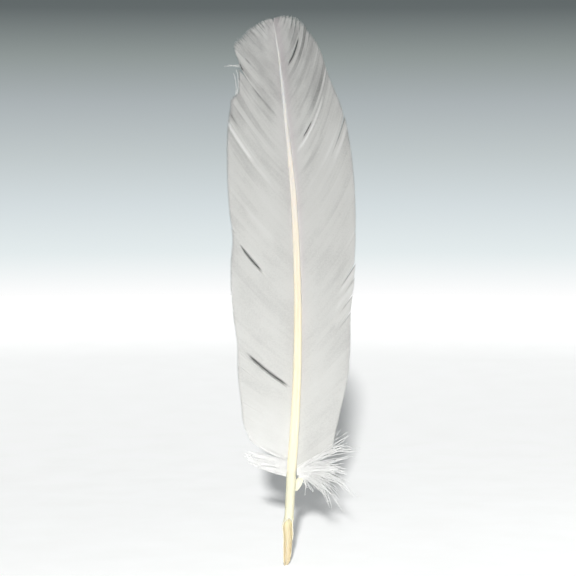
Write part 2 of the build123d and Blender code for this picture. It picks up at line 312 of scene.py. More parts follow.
def hairs(paths, spacing, length, radius, rng, flat, first=0.0, limit=None):
    """Fine flat barbules along each path: they leave it on two sides and bend towards its tip.

    They start at the share first of the path, and at flat 1 they keep to its sides.  Also returns
    which path each of their points belongs to.
    """
    count, steps = paths.shape[:2]
    along = unit(np.gradient(paths, axis=1))
    spans = np.linalg.norm(np.diff(paths, axis=1), axis=-1).sum(1)
    number = np.maximum((spans * (1 - first) / spacing).astype(int), 1)
    owner = np.repeat(np.arange(count), number)
    if limit and len(owner) > limit:
        owner = owner[np.sort(rng.choice(len(owner), limit, replace=False))]
    total = len(owner)
    where = first + (1 - first) * rng.random(total)
    at = where * (steps - 1)
    i = np.minimum(at.astype(int), steps - 2)
    part = (at - i)[:, None]
    root = paths[owner, i] * (1 - part) + paths[owner, i + 1] * part
    tangent = unit(along[owner, i] * (1 - part) + along[owner, i + 1] * part)
    side = unit(np.cross(tangent, FRONT))
    front = np.cross(side, tangent)
    swing = np.where(rng.random(total) < 0.5, 0.0, np.pi) + rng.normal(0, 0.75 * (1 - flat), total)
    outward = side * np.cos(swing)[:, None] + front * (np.sin(swing) * (1 - flat))[:, None]
    angle = np.radians(rng.uniform(22, 52, total))[:, None]
    heading = unit(tangent * np.cos(angle) + outward * np.sin(angle))
    reach = (length * rng.uniform(0.5, 1.15, total) * (1 - 0.55 * where))[:, None]
    middle = root + heading * reach * 0.55
    bent = unit(heading + tangent * rng.uniform(0.1, 0.7, (total, 1)) + rng.normal(0, 0.14, (total, 3)))
    tip = middle + bent * reach * 0.5
    facing = unit(FRONT + rng.normal(0, 0.55, (total, 3)))
    across = unit(np.cross(heading, facing)) * radius
    verts = np.stack([root - across, root + across, middle - across * 0.75, middle + across * 0.75, tip], 1)
    base = np.arange(total)[:, None] * 5
    faces = [base + np.array([0, 1, 3, 2]), base + np.array([2, 3, 4])]
    return verts.reshape(-1, 3), faces, np.repeat(owner, 5)


def bow(z):
    """The y of the shaft's line: it leaves the barrel leaning back and bows forward again."""
    rise = np.asarray(z, float) - BARREL_TOP
    return FOOT[1] + LEAN_Y * BARREL_TOP + LEAN_Y * rise - BOW_FALL * np.maximum(rise, 0) ** 2


shaft_x = smooth(SHAFT, 1)
shaft_width = smooth(SHAFT, 2)
shaft_depth = smooth(SHAFT, 3)


# ---- materials ----
def node(tree, kind, inputs=None, **settings):
    """A new shader node; each input is either a plain value or another node's socket."""
    made = tree.nodes.new(kind)
    for key, value in settings.items():
        setattr(made, key, value)
    for key, value in (inputs or {}).items():
        if isinstance(value, bpy.types.NodeSocket):
            tree.links.new(value, made.inputs[key])
        else:
            made.inputs[key].default_value = value
    return made


def ramp(tree, factor, stops):
    """A colour that runs through the stops, each of them a place from 0 to 1 and a colour."""
    made = node(tree, "ShaderNodeValToRGB", {"Fac": factor})
    band = made.color_ramp
    while len(band.elements) < len(stops):
        band.elements.new(0.5)
    for element, (place, colour) in zip(band.elements, stops):
        element.position = place
        element.color = (*colour, 1.0)
    return made.outputs["Color"]


def blend_colours(tree, factor, a, b):
    """Colour a at factor 0 and colour b at factor 1."""
    mix = node(tree, "ShaderNodeMix", data_type="RGBA")
    for index, value in ((0, factor), (6, a), (7, b)):
        if isinstance(value, bpy.types.NodeSocket):
            tree.links.new(value, mix.inputs[index])
        elif index:
            mix.inputs[index].default_value = (*value, 1.0)
        else:
            mix.inputs[index].default_value = value
    return mix.outputs[2]


def maths(tree, operation, a, b, clamp=False):
    """Two values added, subtracted or multiplied, and kept from 0 to 1 if clamp."""
    made = node(tree, "ShaderNodeMath", operation=operation, use_clamp=clamp)
    for index, value in ((0, a), (1, b)):
        if isinstance(value, bpy.types.NodeSocket):
            tree.links.new(value, made.inputs[index])
        else:
            made.inputs[index].default_value = value
    return made.outputs[0]


def noise_node(tree, scale, stretch, detail, roughness=0.5):
    """Noise over the object's own coordinates, stretched along an axis by a small number there."""
    where = node(tree, "ShaderNodeTexCoord").outputs["Object"]
    mapped = node(tree, "ShaderNodeMapping", {"Vector": where, "Scale": stretch}).outputs["Vector"]
    settings = {"Vector": mapped, "Scale": scale, "Detail": detail, "Roughness": roughness}
    return node(tree, "ShaderNodeTexNoise", settings).outputs["Fac"]


def share_between(tree, value, low, high):
    """0 where the value is low and 1 where it is high."""
    settings = {"Value": value, "From Min": low, "From Max": high}
    return node(tree, "ShaderNodeMapRange", settings).outputs["Result"]


def height_share(tree, low, high):
    """0 at one height in millimetres and 1 at another."""
    where = node(tree, "ShaderNodeTexCoord").outputs["Object"]
    z = node(tree, "ShaderNodeSeparateXYZ", {"Vector": where}).outputs["Z"]
    return share_between(tree, z, low * MM, high * MM)


def attribute(tree, name):
    """A number that make() stored on the points of the mesh."""
    return node(tree, "ShaderNodeAttribute", attribute_name=name).outputs["Fac"]


def varied(tree, value, wobble, amount, clamp=False):
    """A value pushed up and down by a noise."""
    swing = maths(tree, "MULTIPLY", maths(tree, "SUBTRACT", wobble, 0.5), amount)
    return maths(tree, "ADD", value, swing, clamp)


def surface(name, **constants):
    """A material with its tree and its main shader, whose plain numbers are set on its own sockets."""
    made = bpy.data.materials.new(name)
    made.use_nodes = True
    shader = made.node_tree.nodes["Principled BSDF"]
    for key, value in constants.items():
        shader.inputs[key.replace("_", " ")].default_value = value
    return made, made.node_tree, shader


def bump(tree, shader, height, strength, distance):
    """Fine relief, at most distance millimetres deep."""
    settings = {"Height": height, "Strength": strength, "Distance": distance * MM}
    tree.links.new(node(tree, "ShaderNodeBump", settings).outputs["Normal"], shader.inputs["Normal"])


def roughen(tree, shader, wobble, swing, least):
    """Roughness that rises from its least value with a noise."""
    rough = maths(tree, "ADD", maths(tree, "MULTIPLY", wobble, swing), least)
    tree.links.new(rough, shader.inputs["Roughness"])


def horn_material(name, pale, deep, low=None, high=()):
    """Feather horn: satin, with fine streaks along its length.

    low is (foot, head, dark, light): the colours below the foot, blended out up to the head.  A row of
    high has the colours above its head.  Cut edges are paler.
    """
    made, tree, shader = surface(name, Subsurface_Weight=0.55, Subsurface_Scale=0.0016,
                                 Subsurface_Radius=(1.0, 0.92, 0.72), Coat_Weight=0.12,
                                 Coat_Roughness=0.25, IOR=1.54)
    grain = noise_node(tree, 900, (1, 1, 0.035), 4.0, 0.6)
    clouds = noise_node(tree, 140, (1, 1, 0.25), 2.0)
    streaks = maths(tree, "ADD", maths(tree, "MULTIPLY", grain, 0.65), maths(tree, "MULTIPLY", clouds, 0.35))
    colour = ramp(tree, streaks, [(0.32, deep), (0.62, pale)])
    if low:
        foot, head, dark, light = low
        ragged = maths(tree, "MULTIPLY", clouds, 0.2)
        share = maths(tree, "ADD", height_share(tree, foot, head), ragged, True)
        colour = blend_colours(tree, share, blend_colours(tree, streaks, dark, light), colour)
    for foot, head, dark, light in high:
        share = height_share(tree, foot, head)
        colour = blend_colours(tree, share, colour, blend_colours(tree, streaks, dark, light))
    cut = attribute(tree, "cut")
    colour = blend_colours(tree, maths(tree, "MULTIPLY", cut, 0.55), colour, (0.96, 0.93, 0.82))
    tree.links.new(colour, shader.inputs["Base Color"])
    roughen(tree, shader, grain, 0.22, 0.26)
    bump(tree, shader, grain, 0.35, 0.05)
    return made


def vane_material():
    """Barbs: silky grey-white, each clump a little lighter or darker, with fine lines along them.  The
    tone also carries painted shade and painted highlights, and the mauve is mostly painted shadow.
    """
    made, tree, shader = surface("vane_barbs", Sheen_Weight=0.25, Sheen_Roughness=0.45,
                                 Specular_IOR_Level=0.35)
    tone = attribute(tree, "tone")
    speck = noise_node(tree, 1400, (1, 1, 1), 2.0)
    clouds = noise_node(tree, 60, (1, 1, 1), 2.0)
    share = varied(tree, varied(tree, tone, speck, 0.16), clouds, 0.12, True)
    # Low tones are painted shade, darkest in the splits.
    colour = ramp(tree, share, [(0.0, (0.10, 0.105, 0.10)), (0.25, (0.48, 0.48, 0.47)),
                                (0.5, (0.74, 0.74, 0.72)), (1.0, (0.94, 0.94, 0.93))])
    # Mauve: the shaft's painted shadow beside it, and a faint mauve near the top.
    colour = blend_colours(tree, attribute(tree, "tint"), colour, (0.72, 0.66, 0.68))
    tree.links.new(colour, shader.inputs["Base Color"])
    roughen(tree, shader, speck, 0.25, 0.45)
    bump(tree, shader, speck, 0.25, 0.04)
    return made


def down_material():
    """Down: white and matt, a little greyer deep inside a tuft, which is painted shade."""
    made, tree, shader = surface("down_barbules", Sheen_Weight=0.35, Sheen_Roughness=0.5,
                                 Specular_IOR_Level=0.25)
    tone = attribute(tree, "tone")
    clouds = noise_node(tree, 220, (1, 1, 1), 3.0)
    share = varied(tree, tone, clouds, 0.5, True)
    colour = ramp(tree, share, [(0.0, (0.58, 0.58, 0.56)), (0.5, (0.86, 0.86, 0.85)),
                                (1.0, (0.97, 0.97, 0.96))])
    tree.links.new(colour, shader.inputs["Base Color"])
    roughen(tree, shader, clouds, 0.2, 0.7)
    return made


def soft_material(name, pale, deep, scale, relief):
    """The dry, matt stuff inside the quill: pith foam or the shrunken membrane."""
    made, tree, shader = surface(name, Specular_IOR_Level=0.2)
    cells = noise_node(tree, scale, (1, 1, 0.6), 4.0, 0.6)
    tree.links.new(ramp(tree, cells, [(0.3, deep), (0.65, pale)]), shader.inputs["Base Color"])
    roughen(tree, shader, cells, 0.2, 0.72)
    bump(tree, shader, cells, 0.6, relief)
    return made


NIB_DEEP, NIB_PALE = (0.66, 0.54, 0.34), (0.72, 0.60, 0.40)
CUT_DEEP, CUT_PALE = (0.635, 0.53, 0.335), (0.695, 0.595, 0.40)
BARREL = horn_material("barrel_horn", (0.905, 0.85, 0.61), (0.85, 0.785, 0.545),
                       (19.2, 24.0, CUT_DEEP, CUT_PALE))
SHAFT_HORN = horn_material("shaft_horn", (0.885, 0.81, 0.62), (0.83, 0.755, 0.555), None,
                           [(120.0, 205.0, (0.88, 0.80, 0.73), (0.97, 0.90, 0.84)),
                            (205.0, 240.0, (0.78, 0.78, 0.75), (0.90, 0.90, 0.87))])
NIB = horn_material("nib_horn", NIB_PALE, NIB_DEEP,
                    (-2.0, 5.0, (0.545, 0.435, 0.265), (0.665, 0.55, 0.345)),
                    [(7.0, 13.0, CUT_DEEP, CUT_PALE)])
TORN = horn_material("stripped_horn", (0.92, 0.88, 0.69), (0.84, 0.79, 0.57))
VANE = vane_material()
DOWN = down_material()
PITH = soft_material("pith_foam", (0.95, 0.93, 0.88), (0.80, 0.77, 0.68), 1500, 0.08)
MEMBRANE = soft_material("dried_membrane", (0.87, 0.80, 0.64), (0.70, 0.60, 0.42), 500, 0.10)


# ---- the barrel and the nib ----
tube_across = smooth(TUBE, 1)
tube_deep = smooth(TUBE, 2)
scoop_y = smooth(SCOOP, 1)


def axis_at(z):
    """The middle of the tube: straight, but the nib's shoulders have sprung a little to the left."""
    return FOOT[0] + LEAN_X * z - 0.55 * math.exp(-((z - 20.5) / 3.4) ** 2), FOOT[1] + LEAN_Y * z


def cut_angles(z, inset):
    """How far round from the back the wall still stands on the left and on the right at height z."""
    cx, cy = axis_at(z)
    rx, ry = tube_across(z) - inset, tube_deep(z) - inset
    if z >= SCOOP_TOP:
        return math.pi, math.pi
    round_front = math.acos(np.clip((scoop_y(z) - cy) / ry, -1, 1))
    left = (cx - np.interp(z, *zip(*POINT_LEFT))) / rx
    right = (np.interp(z, *zip(*POINT_RIGHT)) - cx) / rx
    left = math.asin(left) if left < 1 else math.pi
    right = math.asin(max(right, -1)) if right < 1 else math.pi
    return min(round_front, left), min(round_front, right)


def wall_points(levels, inset, columns, side):
    """The outer or inner wall as rows of points: the whole wall, or one tine's share of it."""
    rows = []
    for z in levels:
        cx, cy = axis_at(z)
        rx, ry = tube_across(z) - inset, tube_deep(z) - inset
        left, right = cut_angles(z, inset)
        slit = SLIT_FOOT_X + LEAN_X * z
        low, high = -left, right
        if side < 0:
            high = math.asin((slit - SLIT_HALF - cx) / rx)
        if side > 0:
            low = math.asin((slit + SLIT_HALF - cx) / rx)
        turn = np.linspace(low, high, columns)
        x, y = cx + rx * np.sin(turn), cy + ry * np.cos(turn)
        edge = np.clip(0.15 * (x + 0.85) / 1.45, 0, 0.15)
        rows.append(np.stack([x, y, np.maximum(z, edge)], -1))
    return np.array(rows)


def shell(levels, columns, side):
    """Outer wall, inner wall and the pale cut edges between them, but not where tines and barrel meet."""
    outer, inner = wall_points(levels, 0.0, columns, side), wall_points(levels, WALL, columns, side)
    rows = len(levels)
    parts = [
        (outer, [grid_faces(rows, columns)], {}),
        (inner, [grid_faces(rows, columns, flip=True)], {}),
    ]
    open_rows = [i for i, z in enumerate(levels) if z <= SCOOP_TOP + 0.01]
    for column, flip in ((0, False), (-1, True)):
        parts.append(cut_band(inner[open_rows, column], outer[open_rows, column], flip))
    meeting_row = -1 if side else 0
    for row, flip in ((0, True), (-1, False)):
        if row != meeting_row:
            parts.append(cut_band(inner[row], outer[row], flip))
    return parts


BARREL_LEVELS = np.concatenate([np.arange(SLIT_TOP, 22, 0.5), np.arange(22, SCOOP_TOP, 0.12), [SCOOP_TOP],
                                np.arange(25.6, 38.4, 0.8), np.arange(38.6, BARREL_TOP, 0.94), [BARREL_TOP]])
TINE_LEVELS = np.concatenate([np.arange(0, 3, 0.2), np.arange(3, SLIT_TOP + 0.01, 0.45)])
make("barrel_shell", shell(BARREL_LEVELS, 73, 0), BARREL, ["barrel"])
for side, label in ((-1, "left"), (1, "right")):
    parts = shell(TINE_LEVELS, 25, side)
    tine = make(f"nib_{label}_point", parts, NIB, [f"nib_{label}_tine"], None)
    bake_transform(tine)


# ---- the shaft ----
def shaft_piece():
    """The tapering rachis, round at the barrel, then squarer with a groove down its front."""
    levels = np.concatenate([np.arange(BARREL_TOP, 270, 1.2), np.arange(270, SHAFT_TOP + 0.01, 0.5)])
    columns = 48
    turn = np.linspace(0, 2 * np.pi, columns + 1)[:-1]
    rows = []
    for z in levels:
        grown = ease((z - BARREL_TOP) / 25)
        front = np.exp(-((np.angle(np.exp(1j * (turn + np.pi / 2)))) / 0.33) ** 2)
        reach = 1 + 0.06 * grown * np.sin(2 * turn) ** 2 - 0.20 * grown * front
        reach = reach + 0.012 * grown * noise(5, turn * 4 / np.pi * 3, z / 40)
        x = shaft_x(z) + shaft_width(z) / 2 * reach * np.cos(turn)
        y = bow(z) + shaft_depth(z) / 2 * reach * np.sin(turn)
        rows.append(np.stack([x, y, np.full_like(x, z)], -1))
    rows = np.array(rows)
    ring = np.arange(columns)
    parts = [(rows, [grid_faces(len(levels), columns, wrap=True)], {}), (rows[0], [[ring[::-1]]], {}),
             (rows[-1], [[ring]], {})]
    make("shaft_rachis", parts, SHAFT_HORN, ["shaft_skin"])


shaft_piece()


# ---- the vane ----
def barb_lines(rows, side):
    """Every barb's line on one side of the shaft, as x and z arrays of barbs x steps."""
    roots = np.arange(rows[0][0], rows[-1][0], PITCH)
    tip_x, tip_z, angle = smooth(rows, 1)(roots), smooth(rows, 2)(roots), np.radians(smooth(rows, 3)(roots))
    start_x = shaft_x(roots) + side * shaft_width(roots) * 0.36
    chord = np.hypot(tip_x - start_x, tip_z - roots)
    rng = np.random.default_rng(31 + side)
    high = ease((roots - 222) / 30)
    stretch = 1 - np.abs(rng.normal(0, 1, len(roots))) * (0.004 + 0.02 * high)
    t = np.linspace(0, 1, STEPS)[None] * stretch[:, None]
    mid_x = start_x + side * 0.5 * chord * np.cos(angle)
    mid_z = roots + 0.5 * chord * np.sin(angle)
    x = (1 - t) ** 2 * start_x[:, None] + 2 * t * (1 - t) * mid_x[:, None] + t * t * tip_x[:, None]
    z = (1 - t) ** 2 * roots[:, None] + 2 * t * (1 - t) * mid_z[:, None] + t * t * tip_z[:, None]
    return roots, x, z


def nearest(x, z, point):
    """Which barb passes nearest a point, and how far along it."""
    d = np.hypot(x - point[0], z - point[1])
    i, j = np.unravel_index(np.argmin(d), d.shape)
    return i, j / (x.shape[1] - 1)


def between(x, z, inner, outer):
    """The barb that runs from one point to another, and where it passes them."""
    (i0, t0), (i1, t1) = nearest(x, z, inner), nearest(x, z, outer)
    return (i0 + i1) // 2, min(t0, t1), max(t0, t1)


def gather(x, z, roots, seed):
    """Barbs cling together in clumps, loosely along most of the vane and clearly near its top."""
    rng = np.random.default_rng(seed)
    count, start = len(roots), 0
    new_x, new_z = x.copy(), z.copy()
    t = np.linspace(0, 1, x.shape[1])
    clump_tone = np.zeros(count)
    while start < count:
        size = int(rng.integers(4, 12))
        stop = min(start + size, count)
        middle = (start + stop - 1) / 2
        loose = 0.04 + 0.15 * ease((roots[start] - 215) / 35)
        pull = loose * rng.uniform(0.3, 1.5) * t ** 2
        low, high = int(math.floor(middle)), int(math.ceil(middle))
        cx, cz = (x[low] + x[high]) / 2, (z[low] + z[high]) / 2
        new_x[start:stop] += (cx - x[start:stop]) * pull
        new_z[start:stop] += (cz - z[start:stop]) * pull
        clump_tone[start:stop] = rng.normal(0, 1)
        start = stop
    return new_x, new_z, clump_tone


def share_along(t, t0, t1):
    """How far along a split or a fold each point of a barb is: 0 at its inner end, 1 at its outer."""
    return (t - t0) / max(t1 - t0, 0.05)


def open_splits(x, z, splits, reach=9.0):
    """Moves the barbs beside each split apart.  Returns the lines and, for each split, the barb below
    it, where on that barb it starts and ends, half its opening and its kind."""
    parted = []
    t = np.linspace(0, 1, x.shape[1])
    index = np.arange(len(x))[:, None]
    for inner, outer, half, kind in splits:
        i, t0, t1 = between(x, z, inner, outer)
        share = share_along(t, t0, t1)
        if kind == "lens":
            profile = np.sin(np.pi * np.clip(share, 0, 1)) ** 0.8
        elif kind == "hole":
            profile = np.clip(share, 0, 1.1) ** 9
        elif kind == "crease":
            profile = 0 * share
        else:
            profile = np.clip(share, 0, 1.3) ** 2.2
        away = np.where(index <= i, -1.0, 1.0) * np.exp(-np.maximum(i - index, index - i - 1) / reach)
        tx, tz = np.gradient(x, axis=1), np.gradient(z, axis=1)
        size = np.hypot(tx, tz)
        up = np.where(tx >= 0, 1.0, -1.0)
        x = x - tz / size * up * away * profile * half
        z = z + tx / size * up * away * profile * half
        parted.append((i, t0, t1, half, kind))
    return x, z, parted


def sheet_waves(roots, t, top, side, seed):
    """Slow waves in the sheet of barbs, stronger outward and towards the top."""
    slow = (0.22 + 0.40 * top) * t * noise(seed + 1, roots[:, None] / 9, t * 2.5 + side * 9)
    return slow + (0.06 + 0.14 * top) * noise(seed + 2, roots[:, None] / 2.6, t * 4) * ease(t * 3)


def sheet_tone(roots, z, t, top, side, seed, clump_tone):
    """Light and dark in the sheet: clumps, fine streaks along the barbs, broad clouds, and painted
    light and shade: the left foot paler, the right foot and the top darker.
    """
    tone = 0.5 + (0.018 + 0.045 * top) * clump_tone[:, None] * ease(t * 1.5)
    tone = tone + (0.02 + 0.03 * top) * noise(seed + 3, roots[:, None] / 1.3, t * 5)
    tone = tone + (0.05 + 0.05 * top) * noise(seed + 4, roots[:, None] / 14, t * 3)
    tone = tone + 0.03 * top * noise(seed + 7, roots[:, None] / 4, t * 9)
    # Painted light and shade: the left side paler and the right side darker near the foot, and the top
    # darker.
    return tone + (0.16 if side < 0 else -0.04) * ease((92 - z) / 30) - 0.09 * ease((z - 222) / 40)


def crease_folds(x, z, y, tone, t, folds):
    """Raises the crest of each fold and paints a highlight along it, with a painted shade line below."""
    index = np.arange(len(x), dtype=float)[:, None]
    for inner, outer, width, height, lighter in folds:
        i, t0, t1 = between(x, z, inner, outer)
        share = share_along(t, t0, t1)
        window = ease(share * 3 + 0.5) * ease((1.25 - share) * 3)
        y = y - height * window * np.exp(-((index - i) / width) ** 2)
        # Painted highlight along the crest, and painted shade below it.
        tone = tone + lighter * window * np.exp(-((index - i - 1.0) / width) ** 2)
        tone = tone - 0.06 * lighter * window * np.exp(-((index - i + 2.2 * width) / width) ** 2)
    return y, tone


def shade_splits(y, tone, t, parted):
    """Paints shade along each split, with a painted highlight beside an open one.  In a closed one
    the lower lip is tucked back, and its neighbour's shadow on it is painted.
    """
    index = np.arange(len(y), dtype=float)[:, None]
    for i, t0, t1, half, kind in parted:
        share = share_along(t, t0, t1)
        if kind == "crease":
            window = ease(share * 3) * ease((1 - share) * 3)
            tone = tone - 0.22 * window * np.exp(-((index - i) / 1.2) ** 2)
        elif kind == "lens":
            window = ease(share * 5) * ease((1 - share) * 5)
            y = y + 0.9 * window * np.exp(-((index - i + 0.6) / 1.4) ** 2)
            tone = tone - 0.55 * window * np.exp(-((index - i - 0.3) / (2.2 * half + 0.2)) ** 4)
        else:
            window = ease(share * 1.8 - 0.1)
            deep = 0.10 + 0.35 * np.clip(share, 0, 1) ** 6 if kind == "hole" else 0.42 * min(half * 3, 1)
            tone = tone - deep * window * np.exp(-((index - i) / 0.9) ** 2)
            tone = tone + 0.08 * window * np.exp(-((index - i - 3) / 1.5) ** 2)
    return y, tone


def barb_rings(lines, roots, t, parted):
    """The four corners of each barb's flat section at every step, wide enough to overlap the next barb
    except across an open split."""
    spacing = np.gradient(lines, axis=0)
    for i, _, _, _, kind in parted:
        if kind in ("open", "hole") and 0 < i < len(lines) - 2:
            spacing[i] = lines[i] - lines[i - 1]
            spacing[i + 1] = lines[i + 2] - lines[i + 1]
    along = unit(np.gradient(lines, axis=1))
    spacing = spacing - (spacing * along).sum(-1, keepdims=True) * along
    size = np.linalg.norm(spacing, axis=-1, keepdims=True)
    high = ease((roots - 228) / 30)[:, None, None]
    wanted = np.clip(size * 1.3, 0.16, 0.95) * (1 - 0.20 * high * ease(t * 1.4)[..., None])
    taper = np.clip((1 - t) / (0.035 + 0.065 * high[..., 0]), 0.06, 1) ** 0.7
    spacing = spacing / np.maximum(size, 1e-6) * wanted * taper[..., None]
    thick = (0.13 - 0.06 * t)[..., None] * taper[..., None]
    back = -FRONT
    return np.stack([lines + spacing * 0.5 + back * 0.07, lines + FRONT * thick,
                     lines - spacing * 0.5 + FRONT * 0.07, lines + back * thick], 2)


def vane(rows, side, names, splits, ruffles, folds, seed):
    """One side of the vane: its barbs, shared out between the webs that the splits part."""
    roots, x, z = barb_lines(rows, side)
    x, z, clump_tone = gather(x, z, roots, seed)
    x, z, parted = open_splits(x, z, splits)
    x, z, ruffled = open_splits(x, z, ruffles, 4.0)
    t = np.linspace(0, 1, STEPS)[None]
    away = np.abs(x - shaft_x(np.clip(z, BARREL_TOP, SHAFT_TOP)))
    top = ease((roots - 150) / 60)[:, None]
    y = bow(z) - CAMBER * away ** 2 + sheet_waves(roots, t, top, side, seed)
    tone = sheet_tone(roots, z, t, top, side, seed, clump_tone)
    y, plain = crease_folds(x, z, y, tone, t, folds)
    y, tone = shade_splits(y, plain, t, parted + ruffled)
    lines = np.stack([x, y, z], -1)
    rings = barb_rings(lines, roots, t, parted + ruffled)
    # Painted shadow of the shaft: the barbs beside it turn mauve, most on the right; near the top a faint
    # mauve comes and goes at random.
    tint = (0.50 if side > 0 else 0.18) * np.exp(-np.maximum(away - 2.2, 0) / 1.6) * ease((z - 60) / 60)
    tint = tint + 0.06 * np.clip(noise(seed + 6, roots[:, None] / 30, t * 2), 0, 1) * top
    edges = [0] + [i + 1 for i in sorted(split[0] for split in parted)] + [len(roots)]
    for name, start, stop in zip(names, edges, edges[1:]):
        one = grid_faces(STEPS, 4, wrap=True, flip=side < 0)
        base = np.arange(stop - start)[:, None, None] * STEPS * 4
        quads = (one[None] + base).reshape(-1, 4)
        ring = base[:, 0] + np.arange(4)
        turned = ring[:, ::-1]
        root_end, tip_end = (turned, ring) if side > 0 else (ring, turned)
        ends = np.concatenate([root_end, tip_end + (STEPS - 1) * 4])
        # The back of a barb doesn't have the shadow that a split casts.
        wide = np.stack([part[start:stop] for part in (tone, tone, tone, plain)], 2)
        wide_shade_and_tint = np.repeat(tint[start:stop, :, None], 4, 2)
        parts = [(rings[start:stop], [quads, ends], {"tone": wide, "tint": wide_shade_and_tint})]
        if start == 0:
            parts += foot_fuzz(lines, side)
        if stop == len(roots):
            parts += tip_fuzz(lines[max(start, int(np.searchsorted(roots, 226))):stop], side)
        if side < 0 and name in names[-2:]:
            parts += stray_barbs(name == names[-1])
        make(name.replace("_web", "_barbs"), parts, VANE, [name])


def foot_fuzz(lines, side):
    """The lowest barbs end in down: loose barbules along their outer halves."""
    rng = np.random.default_rng(70 + side)
    parts = []
    count, fade = (20, 24) if side > 0 else (8, 10)
    for i in range(count):
        share = 1 - i / fade
        verts, faces, _ = hairs(lines[i:i + 1], 0.16 / share, 1.5 * share, 0.03, rng, 0.3, 0.45)
        parts.append((verts, faces, {"tone": np.full(len(verts), 0.85)}))
    return parts


def tip_fuzz(lines, side):
    """Towards the top of the feather the barbs end in loose barbules."""
    rng = np.random.default_rng(80 + side)
    verts, faces, _ = hairs(lines, 0.20, 1.3, 0.03, rng, 0.6, 0.86)
    return [(verts, faces, {"tone": np.full(len(verts), 0.5)})]


def stray_barbs(upper):
    """Loose barbs at the gap high on the left edge."""
    rng = np.random.default_rng(90 + upper)
    steps = 12
    t = np.linspace(0, 1, steps)[:, None]
    if upper:
        ends = [((-23.0, 253.6), (-30.6, 253.9), 0.4), ((-23.2, 254.6), (-28.6, 254.6), -0.2)]
    else:
        ends = [((-24.6, 240.2), (-25.0, 252.4), 0.9), ((-25.2, 239.8), (-26.2, 250.4), 0.7)]
    paths = []
    for (x0, z0), (x1, z1), arc in ends:
        y0, y1 = (bow(z) - CAMBER * (x - shaft_x(z)) ** 2 for x, z in ((x0, z0), (x1, z1)))
        a, b = np.array([x0, y0, z0]), np.array([x1, y1 - 0.3, z1])
        side = unit(np.cross(b - a, FRONT))
        paths.append(a + (b - a) * t + side * arc * 4 * t * (1 - t))
    paths = np.array(paths)
    groups = tubes(paths, np.linspace(0.09, 0.02, steps), 4), hairs(paths, 0.06, 0.9, 0.03, rng, 0.7)[:2]
    return [(verts, faces, {"tone": np.full(len(verts), 0.9)}) for verts, faces in groups]


LEFT_WEBS = ["left_vane_base_web", "left_vane_lower_web", "left_vane_middle_web", "left_vane_upper_web",
             "left_vane_tip_web"]
RIGHT_WEBS = ["right_vane_base_web", "right_vane_middle_web", "right_vane_upper_web",
              "right_vane_shoulder_web", "right_vane_tip_web"]
vane(LEFT_BARBS, -1, LEFT_WEBS, LEFT_SPLITS, LEFT_RUFFLES, LEFT_FOLDS, 100)
vane(RIGHT_BARBS, 1, RIGHT_WEBS, RIGHT_SPLITS, RIGHT_RUFFLES, RIGHT_FOLDS, 200)


# ---- the down ----
MOST_BARBULES = 70000  # in one tuft


def tuft(name, node_name, locks, roots, number, seed, length, curl, flat, white):
    """A tuft of downy barbs in locks: each barb runs from the shaft towards its lock's tip."""
    rng = np.random.default_rng(seed)
    weights = np.array([lock[2] for lock in locks], float)
    shares = np.maximum(np.round(weights / weights.sum() * number), 1).astype(int)
    chosen = np.repeat(np.arange(len(locks)), shares)
    heights = [lock[0][1] for lock in locks]
    steps = 18
    t = np.linspace(0, 1, steps)[:, None]
    paths = []
    for lock in chosen:
        (tip_x, tip_z), (push_x, push_z), _, spread, behind = locks[lock]
        a, b = roots
        order = (tip_z - min(heights)) / (max(heights) - min(heights))
        r = np.clip(0.8 * order + 0.3 * rng.random() - 0.05, 0, 1)
        root = np.array([a[0] + (b[0] - a[0]) * r, 0, a[1] + (b[1] - a[1]) * r])
        root[1] = bow(root[2]) + 0.6 * behind + rng.normal(0, 0.3)
        tip = np.array([tip_x, 0, tip_z]) + np.array([1, 0, 1]) * rng.normal(0, spread, 3)
        tip[1] = bow(48) - 0.6 + behind + rng.normal(0, 0.9) * (1 - 0.5 * flat)
        middle = (root + tip) / 2 + np.array([push_x, rng.normal(-0.2, 0.6), push_z]) * rng.uniform(0.8, 1.2)
        end = np.clip(rng.beta(5, 1.3), 0.4, 1.0)
        s = t * end
        path = (1 - s) ** 2 * root + 2 * s * (1 - s) * middle + s * s * tip
        phase = rng.uniform(0, 2 * np.pi, 3)
        wave = np.sin(s * rng.uniform(5, 11, 3) + phase) - np.sin(phase)
        paths.append(path + wave * np.array([curl, curl * 0.8, curl]) * s)
    paths = np.array(paths)
    verts, faces = tubes(paths, np.linspace(0.11, 0.04, steps), 4)
    fuzz, fuzz_faces, owner = hairs(paths, 0.055, length, 0.034, rng, flat, limit=MOST_BARBULES)
    # Each barb has its own random tone, and painted shade greys those further back, so those at the
    # front of the tuft are the whitest.
    behind = paths[:, -1, 1] - paths[:, -1, 1].mean()
    shade = rng.normal(white, 0.24 * (1 - flat), len(paths)) - 0.22 * behind
    depth = shade[owner] + 0.15 * noise(seed, fuzz[:, 0] / 2.5, fuzz[:, 2] / 1.6)
    stems = np.repeat(shade + 0.15, steps * 4)
    parts = [(verts, faces, {"tone": stems}), (fuzz, fuzz_faces, {"tone": depth})]
    make(name, parts, DOWN, [node_name])


# The last six numbers are the barbs, the seed, the barbules' length, the curl, flatness and whiteness;
# the whiteness also paints light and shade, the left tuft paler and the lower right one greyer.
tuft("right_upper_down", "right_down_upper_tuft", RIGHT_UPPER_LOCKS, ((5.6, 46.6), (5.8, 53.0)),
     100, 301, 0.80, 0.85, 0.25, 0.85)
tuft("right_lower_down", "right_down_lower_tuft", RIGHT_LOWER_LOCKS, ((6.4, 45.0), (6.8, 47.2)),
     120, 302, 0.75, 0.95, 0.20, 0.68)
tuft("left_down", "left_down_tuft", LEFT_LOCKS, ((1.6, 45.7), (2.4, 55.2)),
     190, 303, 0.85, 0.30, 0.55, 1.05)


